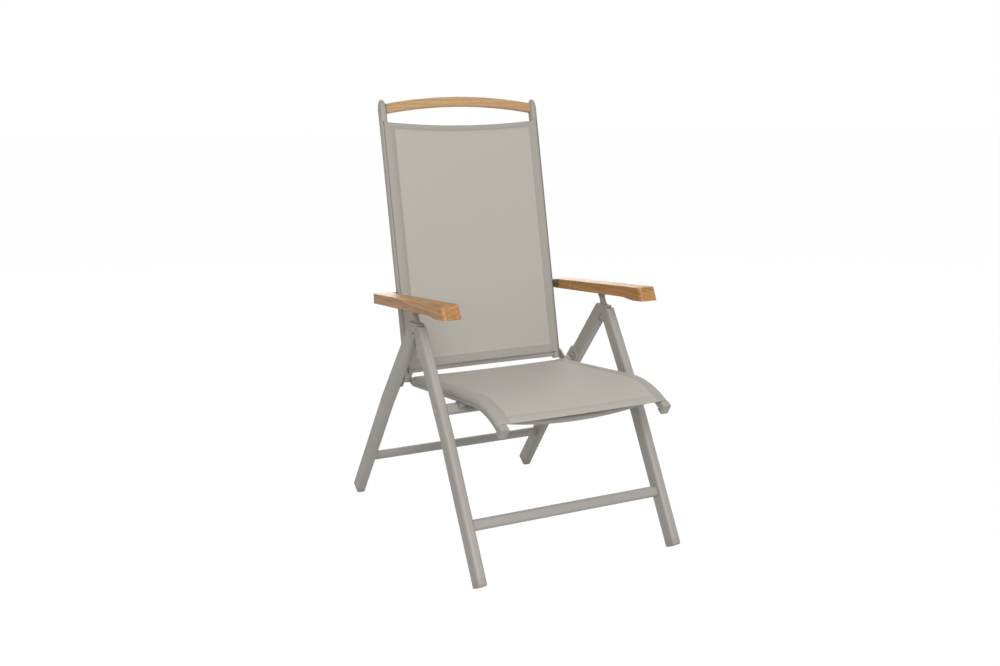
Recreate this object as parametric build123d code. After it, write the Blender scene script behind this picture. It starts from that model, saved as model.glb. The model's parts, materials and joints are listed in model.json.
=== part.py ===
from build123d import *
from math import asin, atan2, cos, degrees, hypot, radians, sin
import os

# A reclining garden armchair: coated folding frame, two stretched slings, hardwood arms and top rail.
# Millimetres, +Z up. The sitter looks along -Y; right is the sitter's right, at -X.
# The origin lies on the floor, midway between the front and rear feet.

# Leg frames
leg_track = 542.0
hinge_height = 531.0
leg_top_above_hinge = 35.0
front_top_drop = 5.0
leg_width = 24.0
leg_depth = 42.0
leg_corner = 8.0
tube_wall = 1.6
front_lean_high = 32.74
front_lean_low = 29.0
front_knee_share = 0.5951
rear_lean_high = 39.68
rear_lean_low = 36.5
rear_knee_share = 0.6083
knee_radius = 300.0
foot_corner = 5.0
foot_flat = 2.5
foot_cap_length = 16.0
plug_length = 20.0
plug_clearance = 0.25
cross_depth = 27.0
cross_width = 19.0
cross_corner = 8.0
front_stretcher_height = 130.0
rear_stretcher_height = 126.0
rest_tube_below_seat = 15.55

# Hinge between the front and rear legs
hinge_behind_front_leg = 4.2
hinge_before_rear_leg = 0.7
casting_below_hinge = 14.0
knuckle_radius = 8.0
knuckle_clearance = 1.5
neck_width = 12.0
tongue_width = 12.0
cheek_gap = 0.4
stop_gap = 0.3
top_edge_round = 2.0
pin_diameter = 6.0
pin_head_diameter = 10.0
pin_head_height = 2.5
washer_gap = 0.2
running_gap = 0.05
bolt_head_diameter = 13.0
bolt_head_height = 3.0

# Pivot shared by the seat and the back
pivot_below_hinge = 141.5
pivot_behind_leg = 1.09
pivot_bolt_diameter = 8.0
pivot_head_diameter = 14.0
pivot_head_height = 4.5
side_gap = 0.3
plate_thickness = 3.6
pivot_sleeve_diameter = 21.0
bracket_thickness = 3.6
bracket_width = 40.0
bracket_length = 50.0
bracket_above_pivot = 14.0
bracket_screw_low = 1.5
bracket_screw_high = 19.0
boss_diameter = 17.0
boss_height = 2.0
screw_head_diameter = 9.0
screw_head_height = 2.4

# Seat frame and its sling
seat_rail_inside_leg = 50.5
seat_rail_width = 19.0
seat_rail_depth = 26.0
seat_rail_corner = 8.0
seat_rail_ahead_of_pivot = 16.07
seat_rail_below_pivot = 9.58
seat_rise = 4.9
seat_straight_length = 338.0
seat_front_radius = 235.5
seat_front_turn = 35.7
rear_cap_length = 7.0
rear_cap_round = 3.0
front_cap_length = 16.0
front_cap_proud = 1.5
front_cap_corner = 4.5
front_cap_round = 1.5
cap_peg_length = 14.0
cap_peg_share = 0.8
seat_lug_radius = 8.0
seat_lug_reach = 12.0
seat_lug_far_radius = 9.0
sling_thickness = 1.2
sling_clearance = 0.3
seat_sling_sag = 2.0
seat_sling_rear_inset = 2.0
seat_sling_front_inset = 1.0
seat_sling_notch = 23.0
groove_mouth = 2.4
groove_depth = 6.4
edge_rod_diameter = 3.4
edge_rod_clearance = 0.5
spreader_wall = 1.5
seat_spreader_diameter = 16.0
seat_spreader_bow = 26.0
seat_spreader_inset = 30.0
seat_rear_spreader_inset = 12.0
saddle_width = 15.0
saddle_lip = 5.0
saddle_drop = 11.5
saddle_rear_reach = 6.0

# Back frame and its sling
tip_above_pivot = 710.5
back_rail_inside_leg = 46.5
back_rail_width = 20.0
back_rail_depth = 24.0
back_rail_corner = 9.0
back_lean = 12.15
back_rail_behind_pivot = 19.92
back_rail_start = 10.0
back_cap_length = 4.0
back_cap_round = 2.0
tip_length = 59.0
tip_dome = 21.0
back_groove_offset = 4.0
back_sling_sag = 10.0
back_sling_start = 24.6
back_sling_top_drop = 61.0
back_sling_top_dip = 10.0
back_spreader_start = 17.6
back_spreader_bow = 25.0
back_spreader_diameter = 14.0
back_plate_radius = 11.0
back_plate_reach = 22.0
back_plate_far_radius = 9.5
top_rail_drop = 24.5
top_rail_height = 26.0
top_rail_depth = 16.0
top_rail_rise = 18.0
top_rail_round = 4.0
wood_screw_diameter = 5.0
wood_screw_length = 42.0

# Arms with their pivots, racks and posts
arm_outside_leg = 1.25
arm_width = 49.5
arm_pivot_above_hinge = 64.0
arm_slope = 4.75
arm_rear_length = 16.0
arm_top_length = 406.0
arm_top_above_pivot = 12.0
arm_rear_below_pivot = 13.5
arm_mid_below_pivot = 16.0
arm_nose_below_pivot = 22.3
arm_nose_slant = 14.0
arm_nose_land = 26.0
arm_swell_length = 79.0
arm_nose_radius = 9.0
arm_rear_radius = 9.0
arm_edge_round = 3.0
arm_bolt_diameter = 10.0
arm_bolt_head_diameter = 14.0
arm_bolt_head_height = 3.5
arm_collar_diameter = 24.0
arm_collar_width = 6.0
arm_bush_diameter = 16.0
arm_flange_diameter = 24.0
arm_bush_depth = 28.0
rack_length = 122.0
rack_width = 9.4
rack_thickness = 3.0
rack_below_pivot = 10.0
rack_groove_width = 10.0
rack_groove_margin = 3.0
rack_notch_count = 7
rack_notch_pitch = 15.8
rack_notch_diameter = 4.4
rack_first_notch = 13.5
rack_screw_inset = 4.0
rack_screw_diameter = 3.0
rack_screw_head_diameter = 5.6
rack_screw_head_height = 1.4
rack_screw_length = 11.0
post_thickness = 11.0
post_base_width = 19.5
post_base_back = -1.0
post_waist_width = 13.0
post_waist_back = 4.5
post_waist_height = 8.0
post_top_width = 18.0
post_top_back = 14.8
post_top_gap = 2.6
post_tongue_width = 7.0
post_tongue_length = 9.0
post_rack_gap = 0.4

overrun = 80.0

sides = {"right": -1, "left": 1}


def unit(angle):
    """Side view direction (y, z) of an angle measured from +Y towards +Z."""
    return cos(radians(angle)), sin(radians(angle))


def along(point, direction, distance):
    return point[0] + direction[0] * distance, point[1] + direction[1] * distance


def reverse(direction):
    return -direction[0], -direction[1]


def ahead_of(direction):
    """The direction a quarter turn on: forwards, for a leg or a back rail that points up."""
    return -direction[1], direction[0]


def turned(point, centre, angle):
    """A side view point turned about a centre, from +Y towards +Z."""
    c, s = unit(angle)
    dy, dz = point[0] - centre[0], point[1] - centre[1]
    return centre[0] + c * dy - s * dz, centre[1] + s * dy + c * dz


def at_height(point, direction, height):
    return along(point, direction, (height - point[1]) / direction[1])


def rod(x_from, x_to, centre, diameter):
    """A round bar along X between two x values."""
    plane = Plane(origin=(min(x_from, x_to), *centre), x_dir=(0, 1, 0), z_dir=(1, 0, 0))
    return extrude(plane * Circle(diameter / 2), amount=abs(x_to - x_from))


def domed_head(x_seat, centre, diameter, height, side):
    """A low domed head: its flat seat lies at x_seat and its dome points to the side."""
    radius = (diameter ** 2 / 4 + height ** 2) / (2 * height)
    half_angle = asin(diameter / 2 / radius) / 2
    crown = (height - radius + radius * cos(half_angle), radius * sin(half_angle))
    plane = Plane(origin=(x_seat, *centre), x_dir=(side, 0, 0), z_dir=(0, 0, 1))
    dome = ThreePointArc((0, diameter / 2), crown, (height, 0))
    outline = outline_face([Polyline((height, 0), (0, 0), (0, diameter / 2)), dome])
    return revolve(plane * outline, Axis((x_seat, *centre), (1, 0, 0)))


def side_plane(x, point, direction):
    """Section plane at a side view point: local x is X, the normal is the direction."""
    return Plane(origin=(x, *point), x_dir=(1, 0, 0), z_dir=(0, *direction))


def leg_side_plane(x, point, up):
    """Plane across X at a side view point: local x runs along the leg, the normal along X."""
    return Plane(origin=(x, *point), x_dir=(0, *up), z_dir=(1, 0, 0))


def bar(x, point, direction, width, depth, corner, length):
    """A straight solid bar of rounded section, growing from a side view point."""
    return extrude(side_plane(x, point, direction) * RectangleRounded(width, depth, corner), amount=length)


def outline_face(curves):
    return make_face([edge for curve in curves for edge in curve.edges()])


def side_prism(points, x, width):
    """A prism of a closed side view outline, centred on x."""
    face = outline_face([Polyline([(x - width / 2, *point) for point in points], close=True)])
    return extrude(face, amount=width, dir=(1, 0, 0))


def half_space(x, point, outward):
    """A thick slab whose face passes through a point and that fills the outward side."""
    return extrude(side_plane(x, point, outward) * Rectangle(2 * overrun, 4 * overrun), amount=2 * overrun)


def tube_section(width, depth, corner, wall):
    inner = RectangleRounded(width - 2 * wall, depth - 2 * wall, corner - wall)
    return RectangleRounded(width, depth, corner) - inner


def far_edges(shape, direction):
    """Edges of the face that lies furthest in a side view direction."""
    return shape.faces().sort_by(Axis((0, 0, 0), (0, *direction)))[-1].edges()


# Leg centre lines

front_up, front_low_up = unit(90 - front_lean_high), unit(90 - front_lean_low)
rear_up, rear_low_up = unit(90 + rear_lean_high), unit(90 + rear_lean_low)
front_ahead, rear_ahead = ahead_of(front_up), ahead_of(rear_up)


def foot_height(lean):
    """Height of a leg axis' lower end, where the floor cuts the rounded foot corner flat."""
    half = leg_depth / 2 - foot_corner
    return half * sin(radians(lean)) - foot_corner * cos(radians(lean)) + foot_corner - foot_flat


def leg_axis(beside, up, low_up, knee_share, low_lean):
    """Foot, knee and the point beside the hinge, on a leg's centre line."""
    knee = at_height(beside, up, knee_share * hinge_height)
    return at_height(knee, low_up, foot_height(low_lean)), knee, beside


def front_axis(hinge_point):
    beside = along(hinge_point, front_ahead, hinge_behind_front_leg + leg_depth / 2)
    return leg_axis(beside, front_up, front_low_up, front_knee_share, front_lean_low)


def rear_axis(hinge_point):
    beside = along(hinge_point, rear_ahead, -hinge_before_rear_leg - leg_depth / 2)
    return leg_axis(beside, rear_up, rear_low_up, rear_knee_share, rear_lean_low)


def hinge_offset():
    """The hinge's y that puts the origin midway between the feet."""
    front_reach = front_axis((0, hinge_height))[0][0] - leg_depth / 2 * front_low_up[1]
    rear_reach = rear_axis((0, hinge_height))[0][0] + leg_depth / 2 * rear_low_up[1]
    return -(front_reach + rear_reach) / 2


hinge = (hinge_offset(), hinge_height)
front_foot, front_knee, front_beside = front_axis(hinge)
rear_foot, rear_knee, rear_beside = rear_axis(hinge)
leg_inner = leg_track / 2 - leg_width / 2
leg_outer = leg_track / 2 + leg_width / 2
leg_top_height = hinge_height + leg_top_above_hinge

# Legs, their castings and feet


def leg_tube(x, foot, knee, beside, low_up, up):
    """A leg tube between its foot cap and its top casting, with a gentle knee."""
    start = along(foot, low_up, foot_cap_length)
    end = along(beside, up, -casting_below_hinge)
    path = FilletPolyline([(x, *start), (x, *knee), (x, *end)], radius=knee_radius)
    section = tube_section(leg_width, leg_depth, leg_corner, tube_wall)
    return sweep(side_plane(x, start, low_up) * section, path)


def leg_plug(x, point, direction):
    """The part of a foot cap or casting that sits inside the tube."""
    inset = tube_wall + plug_clearance
    width, depth = leg_width - 2 * inset, leg_depth - 2 * inset
    return bar(x, point, direction, width, depth, leg_corner - inset, plug_length)


def foot_cap(x, foot, low_up):
    """A plastic foot with a rounded end, cut flat at the floor, and a plug inside the tube."""
    cap = bar(x, foot, low_up, leg_width, leg_depth, leg_corner, foot_cap_length)
    cap = fillet(far_edges(cap, reverse(low_up)), foot_corner)
    cap = cap + leg_plug(x, along(foot, low_up, foot_cap_length), low_up)
    return cap - half_space(x, (foot[0], 0), (0, -1))


def casting_block(x, beside, up, top):
    """A leg's top casting before its hinge is cut: leg section up to a level top."""
    low = along(beside, up, -casting_below_hinge)
    block = bar(x, low, up, leg_width, leg_depth, leg_corner, casting_below_hinge + 2 * leg_depth)
    return block - half_space(x, (beside[0], top), (0, 1))


def front_casting(x):
    """Top of a front leg: two cheeks on the hinge, mitred against the rear leg as the open stop."""
    half = neck_width / 2
    neck_far = along(hinge, front_ahead, hinge_behind_front_leg + leg_corner)
    neck = side_prism([along(hinge, front_up, half), along(neck_far, front_up, half),
                       along(neck_far, front_up, -half), along(hinge, front_up, -half)], x, leg_width)
    stop = along(hinge, rear_ahead, stop_gap - hinge_before_rear_leg)
    body = casting_block(x, front_beside, front_up, leg_top_height - front_top_drop) + neck
    body = body - half_space(x, stop, reverse(rear_ahead))
    body = fillet(far_edges(body, (0, 1)), top_edge_round)
    body = body + rod(x - leg_width / 2, x + leg_width / 2, hinge, 2 * knuckle_radius)
    slot = tongue_width / 2 + cheek_gap
    body = body - rod(x - slot, x + slot, hinge, 2 * knuckle_radius + 2 * knuckle_clearance)
    body = body - rod(x - leg_width, x + leg_width, hinge, pin_diameter + 2 * running_gap)
    return body + leg_plug(x, along(front_beside, front_up, -casting_below_hinge), reverse(front_up))


def rear_casting(x):
    """Top of a rear leg: a centre tongue on the hinge pin, and a flat top that carries the arm post."""
    body = casting_block(x, rear_beside, rear_up, leg_top_height)
    body = fillet(far_edges(body, (0, 1)), top_edge_round)
    for side in (-1, 1):
        face = x + side * tongue_width / 2
        body = body - rod(face, face + side * leg_width, hinge, 2 * knuckle_radius + 2 * knuckle_clearance)
    body = body + rod(x - tongue_width / 2, x + tongue_width / 2, hinge, 2 * knuckle_radius)
    body = body - rod(x - leg_width, x + leg_width, hinge, pin_diameter)
    return body + leg_plug(x, along(rear_beside, rear_up, -casting_below_hinge), reverse(rear_up))


def hinge_pin(x):
    """The pin of a leg hinge, with a domed head at each end."""
    half = leg_width / 2 + washer_gap
    pin = rod(x - half, x + half, hinge, pin_diameter)
    for side in (-1, 1):
        pin = pin + domed_head(x + side * half, hinge, pin_head_diameter, pin_head_height, side)
    return pin


def cross_tube(point, up):
    """A flat oval tube between the inner faces of two legs."""
    section = tube_section(cross_depth, cross_width, cross_corner, tube_wall)
    return extrude(leg_side_plane(-leg_inner, point, up) * section, amount=2 * leg_inner)


front_stretcher_place = at_height(front_foot, front_low_up, front_stretcher_height)
rear_stretcher_place = at_height(rear_foot, rear_low_up, rear_stretcher_height)

# Pivot of the seat and the back

pivot_height = hinge_height - pivot_below_hinge
pivot = at_height(along(rear_beside, rear_ahead, -pivot_behind_leg), rear_up, pivot_height)
bracket_place = along(along(pivot, rear_ahead, pivot_behind_leg), rear_up, bracket_above_pivot)
seat_rail_centre = leg_track / 2 - seat_rail_inside_leg
back_rail_centre = leg_track / 2 - back_rail_inside_leg
seat_outer = seat_rail_centre + seat_rail_width / 2
seat_inner = seat_rail_centre - seat_rail_width / 2
back_outer = back_rail_centre + back_rail_width / 2
back_inner = back_rail_centre - back_rail_width / 2
boss_tip = leg_inner - bracket_thickness - boss_height


def pivot_bracket(side):
    """Plate on a rear leg's inner face, with a boss that carries the pivot bolt."""
    plane = leg_side_plane(side * leg_inner, bracket_place, rear_up)
    plate = extrude(plane * RectangleRounded(bracket_length, bracket_width, leg_corner),
                    amount=-side * bracket_thickness)
    body = plate + rod(side * leg_inner, side * boss_tip, pivot, boss_diameter)
    return body - rod(side * leg_outer, side * seat_outer, pivot, pivot_bolt_diameter + 2 * running_gap)


def bracket_screws():
    """Domed screws that hold the two brackets, above each pivot's boss."""
    heads = []
    for side in sides.values():
        for step in (bracket_screw_low, bracket_screw_high):
            place = along(bracket_place, rear_up, step)
            heads.append(domed_head(side * (leg_inner - bracket_thickness), place, screw_head_diameter,
                                    screw_head_height, -side))
    return heads


def pivot_bolt(side):
    """The shared pivot bolt, its hexagon head inside the seat lug."""
    seat = side * (seat_outer - side_gap)
    shank = rod(seat, side * (leg_inner - side_gap), pivot, pivot_bolt_diameter)
    plane = Plane(origin=(seat, *pivot), x_dir=(0, 1, 0), z_dir=(-side, 0, 0))
    return shank + extrude(plane * RegularPolygon(pivot_head_diameter / 2, 6), amount=pivot_head_height)


def pivot_sleeve(side):
    """Sleeve on the pivot bolt between the back plate and the bracket's boss."""
    near, far = side * (back_outer + plate_thickness + side_gap), side * (boss_tip - side_gap)
    bore = rod(near, far, pivot, pivot_bolt_diameter + 2 * running_gap)
    return rod(near, far, pivot, pivot_sleeve_diameter) - bore


def link_plate(x_from, x_to, near_radius, far_point, far_radius):
    """A flat plate from the pivot to a point on a rail, round at both ends, with the pivot hole."""
    reach = (far_point[0] - pivot[0], far_point[1] - pivot[1])
    across = ahead_of((reach[0] / hypot(*reach), reach[1] / hypot(*reach)))
    web = side_prism([along(pivot, across, near_radius), along(far_point, across, far_radius),
                      along(far_point, across, -far_radius), along(pivot, across, -near_radius)],
                     (x_from + x_to) / 2, abs(x_to - x_from))
    body = web + rod(x_from, x_to, pivot, 2 * near_radius) + rod(x_from, x_to, far_point, 2 * far_radius)
    return body - rod(x_from, x_to, pivot, pivot_bolt_diameter + 2 * running_gap)


# Rails with a groove for the sling's edge rod

channel_radius = edge_rod_diameter / 2 + edge_rod_clearance
channel_depth = groove_depth - channel_radius
channel_reach = groove_depth + tube_wall


def grooved_section(width, depth, corner, mouth, inward):
    """Hollow rail section with a keyhole groove: mouth is on a face, inward points into the rail."""
    outer = RectangleRounded(width, depth, corner)
    hollow = RectangleRounded(width - 2 * tube_wall, depth - 2 * tube_wall, corner - tube_wall)
    centre = along(mouth, inward, channel_depth)
    turn = Rot(0, 0, degrees(atan2(inward[1], inward[0])))
    slot = Pos(*mouth) * turn * Rectangle(2 * channel_depth, groove_mouth)
    lips = Pos(*mouth) * turn * Rectangle(2 * channel_depth, groove_mouth + 2 * tube_wall)
    hollow = hollow - Pos(*centre) * Circle(channel_radius + tube_wall) - lips
    return outer - hollow - Pos(*centre) * Circle(channel_radius) - slot


def rail_cap(x, point, outward, section, length, rounding):
    """A plastic cap on a rail's end, rounded at its far edge; section is width, depth and corner."""
    cap = bar(x, point, outward, *section, length)
    return fillet(far_edges(cap, outward), rounding)


def cap_peg(x, point, inward, shift, free):
    """The peg of a cap, in the part of the hollow that the groove leaves free."""
    plane = side_plane(x, point, inward)
    return extrude(plane * Pos(*shift) * Circle(cap_peg_share * free / 2), amount=cap_peg_length)


def arc_tube(inner, place, bow, diameter):
    """A round tube between two rails' inner faces, bowed by a side view vector at its middle."""
    end = inner + diameter / 4
    path = ThreePointArc((-end, *place), (0, place[0] + bow[0], place[1] + bow[1]), (end, *place))
    section = Circle(diameter / 2) - Circle(diameter / 2 - spreader_wall)
    tube = sweep(Plane(origin=path @ 0, z_dir=path % 0) * section, path)
    return tube & Pos(0, *place) * Box(2 * inner, 4 * overrun, 4 * overrun)


# Seat

seat_forward = unit(180 - seat_rise)
seat_up = reverse(ahead_of(seat_forward))
seat_start = along(along(pivot, seat_forward, seat_rail_ahead_of_pivot), seat_up, -seat_rail_below_pivot)
seat_turn = along(seat_start, seat_forward, seat_straight_length)
seat_bend_centre = along(seat_turn, seat_up, -seat_front_radius)
seat_end = turned(seat_turn, seat_bend_centre, seat_front_turn)
seat_end_forward = unit(180 - seat_rise + seat_front_turn)
seat_section = (seat_rail_width, seat_rail_depth, seat_rail_corner)
seat_underside = along(seat_start, seat_up, -seat_rail_depth / 2)


def rest_tube_centre():
    """Where the front leg's centre line lies the rest tube's distance under the seat rails."""
    reach = (front_beside[0] - seat_underside[0], front_beside[1] - seat_underside[1])
    above = reach[0] * seat_up[0] + reach[1] * seat_up[1]
    rise = front_up[0] * seat_up[0] + front_up[1] * seat_up[1]
    return along(front_beside, front_up, -(above + rest_tube_below_seat) / rise)


rest_tube_place = rest_tube_centre()


def seat_path(x, rear_inset=0.0, front_inset=0.0):
    """The seat rail's centre line: straight, then an arc down to the front."""
    start = along(seat_start, seat_forward, rear_inset)
    angle = seat_front_turn - degrees(front_inset / seat_front_radius)
    middle = turned(seat_turn, seat_bend_centre, angle / 2)
    end = turned(seat_turn, seat_bend_centre, angle)
    front = ThreePointArc((x, *seat_turn), (x, *middle), (x, *end))
    return Wire([Line((x, *start), (x, *seat_turn)), front])


def seat_rail(side):
    x = side * seat_rail_centre
    section = grooved_section(*seat_section, (side * seat_rail_width / 2, 0), (-side, 0))
    return sweep(side_plane(x, seat_start, seat_forward) * section, seat_path(x))


def seat_edge_rod(side):
    """The edge rod of the seat sling, inside its rail's groove."""
    x = side * seat_rail_centre
    start = along(seat_start, seat_forward, seat_sling_rear_inset)
    circle = Pos(side * (seat_rail_width / 2 - channel_depth), 0) * Circle(edge_rod_diameter / 2)
    path = seat_path(x, seat_sling_rear_inset, seat_sling_front_inset)
    return sweep(side_plane(x, start, seat_forward) * circle, path)


def seat_sling_side(gap):
    """One face of the seat sling's section, and how far out it reaches."""
    out = seat_outer + sling_clearance + gap
    high = seat_rail_depth / 2 + sling_clearance + gap
    bend = seat_rail_corner + sling_clearance + gap
    cut = bend * (1 - cos(radians(45)))
    curves = [ThreePointArc((-seat_inner, high), (0, high - seat_sling_sag), (seat_inner, high))]
    for side in (-1, 1):
        curves.append(Line((side * out, -groove_mouth / 2), (side * out, high - bend)))
        curves.append(ThreePointArc((side * out, high - bend), (side * (out - cut), high - cut),
                                    (side * (out - bend), high)))
        curves.append(Line((side * (out - bend), high), (side * seat_inner, high)))
    return curves, out


def seat_sling():
    """The seat cloth: over both rails from groove to groove, sagging between them."""
    lower, low_out = seat_sling_side(0)
    upper, high_out = seat_sling_side(sling_thickness)
    level = -groove_mouth / 2
    ends = [Line((side * low_out, level), (side * high_out, level)) for side in (-1, 1)]
    start = along(seat_start, seat_forward, seat_sling_rear_inset)
    section = side_plane(0, start, seat_forward) * outline_face(lower + upper + ends)
    cloth = sweep(section, seat_path(0, seat_sling_rear_inset, seat_sling_front_inset))
    for side in sides.values():
        plane = side_plane(side * (seat_outer - sling_clearance + overrun), seat_start, seat_forward)
        cloth = cloth - extrude(plane * Rectangle(2 * overrun, overrun), amount=seat_sling_notch)
    return cloth


def seat_cap_peg(side, point, inward):
    """A seat cap's peg, on the inner side of the rail's hollow."""
    free = seat_rail_width - tube_wall - channel_reach
    shift = side * (free / 2 + tube_wall - seat_rail_width / 2)
    return cap_peg(side * seat_rail_centre, point, inward, (shift, 0), free)


def seat_rear_cap(side):
    x, outward = side * seat_rail_centre, reverse(seat_forward)
    cap = rail_cap(x, seat_start, outward, seat_section, rear_cap_length, rear_cap_round)
    return cap + seat_cap_peg(side, seat_start, seat_forward)


def seat_front_cap(side):
    """The squarer cap on a seat rail's front end, which stands a little proud of the rail."""
    size = (seat_rail_width + 2 * front_cap_proud, seat_rail_depth + 2 * front_cap_proud, front_cap_corner)
    x = side * seat_rail_centre
    cap = rail_cap(x, seat_end, seat_end_forward, size, front_cap_length, front_cap_round)
    return cap + seat_cap_peg(side, seat_end, reverse(seat_end_forward))


def seat_front_spreader():
    """A tube between the seat rails near the front, bowed down and away from the sling."""
    angle = seat_front_turn - degrees(seat_spreader_inset / seat_front_radius)
    place = turned(seat_turn, seat_bend_centre, angle)
    bow = turned(along((0, 0), seat_up, -seat_spreader_bow), (0, 0), angle)
    return arc_tube(seat_inner, place, bow, seat_spreader_diameter)


def seat_rear_spreader():
    """A straight tube between the seat rails at their rear end."""
    place = along(seat_start, seat_forward, seat_rear_spreader_inset)
    bore = rod(-seat_inner, seat_inner, place, seat_spreader_diameter - 2 * spreader_wall)
    return rod(-seat_inner, seat_inner, place, seat_spreader_diameter) - bore


def seat_lug(side):
    """Plate on a seat rail's outer face that hangs the seat from the pivot."""
    far = along(seat_start, seat_forward, seat_lug_reach)
    return link_plate(side * seat_outer, side * (seat_outer + plate_thickness), seat_lug_radius, far,
                      seat_lug_far_radius)


def saddle(side):
    """Block under a seat rail that rides on the rest tube and hooks in front of it."""
    slope = seat_forward[1] / seat_forward[0]
    rear, front = rest_tube_place[0] + saddle_rear_reach, rest_tube_place[0] - cross_depth / 2 - saddle_lip
    top_rear, top_front = (seat_underside[1] + (y - seat_underside[0]) * slope for y in (rear, front))
    bottom = top_front - saddle_drop
    x = side * seat_rail_centre
    outline = [(rear, top_rear), (front, top_front), (front, bottom), (rear, bottom)]
    block = side_prism(outline, x, saddle_width)
    depth, width = cross_depth + 2 * side_gap, cross_width + 2 * side_gap
    hollow = RectangleRounded(depth, width, cross_corner + side_gap)
    plane = leg_side_plane(x - saddle_width, rest_tube_place, front_up)
    seat = extrude(plane * hollow, amount=2 * saddle_width)
    return (block - seat).solids().sort_by(Axis.Z)[-1]


# Back

back_up = unit(90 - back_lean)
back_ahead = ahead_of(back_up)
back_axis = along(pivot, back_ahead, -back_rail_behind_pivot)
back_length = (pivot[1] + tip_above_pivot - back_axis[1]) / back_up[1]
back_section = (back_rail_width, back_rail_depth, back_rail_corner)
back_sling_end = back_length - back_sling_top_drop
top_rail_start = back_length - top_rail_drop
arm_pivot = at_height(back_axis, back_up, hinge_height + arm_pivot_above_hinge)


def back_point(distance, forward=0.0):
    """A side view point on the back, by its distance along the rails and in front of their axis."""
    return along(along(back_axis, back_up, distance), back_ahead, forward)


top_rail_place = back_point(top_rail_start)


def back_rail(side):
    x = side * back_rail_centre
    section = grooved_section(*back_section, (side * back_groove_offset, -back_rail_depth / 2), (0, 1))
    plane = side_plane(x, back_point(back_rail_start), back_up)
    body = extrude(plane * section, amount=back_length - tip_length - back_rail_start)
    bore = arm_bolt_diameter + 2 * running_gap
    return body - rod(x - back_rail_width, x + back_rail_width, arm_pivot, bore)


def back_peg(side, point, inward):
    """A back cap's peg, in the rear part of the rail's hollow."""
    free = back_rail_depth - tube_wall - channel_reach
    shift = back_rail_depth / 2 - tube_wall - free / 2
    turn = -1 if inward[1] < 0 else 1
    return cap_peg(side * back_rail_centre, point, inward, (0, turn * shift), free)


def rail_tip(side):
    """The end piece on top of a back rail: a plain length with a domed top and a peg."""
    x = side * back_rail_centre
    base, brow = back_point(back_length - tip_length), back_point(back_length - tip_dome)
    sleeve = bar(x, base, back_up, *back_section, tip_length - tip_dome)
    dome = scale(Sphere(1), by=(back_rail_width / 2, back_rail_depth / 2, tip_dome))
    dome = side_plane(x, brow, back_up) * dome - half_space(x, brow, reverse(back_up))
    cap = sleeve + dome + back_peg(side, base, reverse(back_up))
    return cap - rod(x - back_rail_width, x + back_rail_width, top_rail_place, wood_screw_diameter)


def back_lower_cap(side):
    start = back_point(back_rail_start)
    x = side * back_rail_centre
    cap = rail_cap(x, start, reverse(back_up), back_section, back_cap_length, back_cap_round)
    return cap + back_peg(side, start, back_up)


def back_edge_rod(side):
    """The edge rod of the back sling, inside its rail's groove."""
    plane = side_plane(side * back_rail_centre, back_point(back_sling_start), back_up)
    place = Pos(side * back_groove_offset, channel_depth - back_rail_depth / 2)
    circle = place * Circle(edge_rod_diameter / 2)
    return extrude(plane * circle, amount=back_sling_end - back_sling_start)


def back_sling():
    """The back cloth: along the rails' front faces from groove to groove, sagging rearwards."""
    edge = back_rail_centre + back_groove_offset
    near = -back_rail_depth / 2 - sling_clearance
    far = near - sling_thickness
    curves = [Line((side * edge, near), (side * edge, far)) for side in (-1, 1)]
    for face in (near, far):
        curves.append(ThreePointArc((-back_inner, face), (0, face + back_sling_sag), (back_inner, face)))
        curves.extend(Line((side * edge, face), (side * back_inner, face)) for side in (-1, 1))
    plane = side_plane(0, back_point(back_sling_start), back_up)
    cloth = extrude(plane * outline_face(curves), amount=back_sling_end - back_sling_start)
    dip = [ThreePointArc((-edge, 0), (0, -back_sling_top_dip), (edge, 0)),
           Polyline((edge, 0), (edge, overrun), (-edge, overrun), (-edge, 0))]
    return cloth - extrude(side_plane(0, back_point(back_sling_end), back_ahead) * outline_face(dip),
                           amount=overrun, both=True)


def back_spreader():
    """The tube between the back rails' lower ends, bowed rearwards."""
    bow = along((0, 0), back_ahead, -back_spreader_bow)
    return arc_tube(back_inner, back_point(back_spreader_start), bow, back_spreader_diameter)


def back_plate(side):
    """Plate on a back rail's outer face that hangs the back from the pivot."""
    return link_plate(side * back_outer, side * (back_outer + plate_thickness), back_plate_radius,
                      back_point(back_plate_reach), back_plate_far_radius)


def top_rail_bore(side):
    deep = side * (back_outer - wood_screw_length)
    return rod(side * back_outer, deep, top_rail_place, wood_screw_diameter)


def top_rail():
    """The arched hardwood rail between the back rails' tops."""
    half = top_rail_height / 2
    plane = side_plane(0, back_point(top_rail_start, -top_rail_depth / 2), back_ahead)
    curves = [Line((side * back_inner, -half), (side * back_inner, half)) for side in (-1, 1)]
    for level in (-half, half):
        curves.append(ThreePointArc((-back_inner, level), (0, level + top_rail_rise), (back_inner, level)))
    rail = extrude(plane * outline_face(curves), amount=top_rail_depth)
    rail = fillet([edge for edge in rail.edges() if edge.length > back_inner], top_rail_round)
    for side in sides.values():
        rail = rail - top_rail_bore(side)
    return rail


def top_rail_screw(side):
    """Screw through a back rail into the end of the hardwood top rail."""
    head = domed_head(side * back_outer, top_rail_place, screw_head_diameter, screw_head_height, side)
    return top_rail_bore(side) + head


# Arms: u runs forward along the arm from its pivot, v runs up

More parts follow.
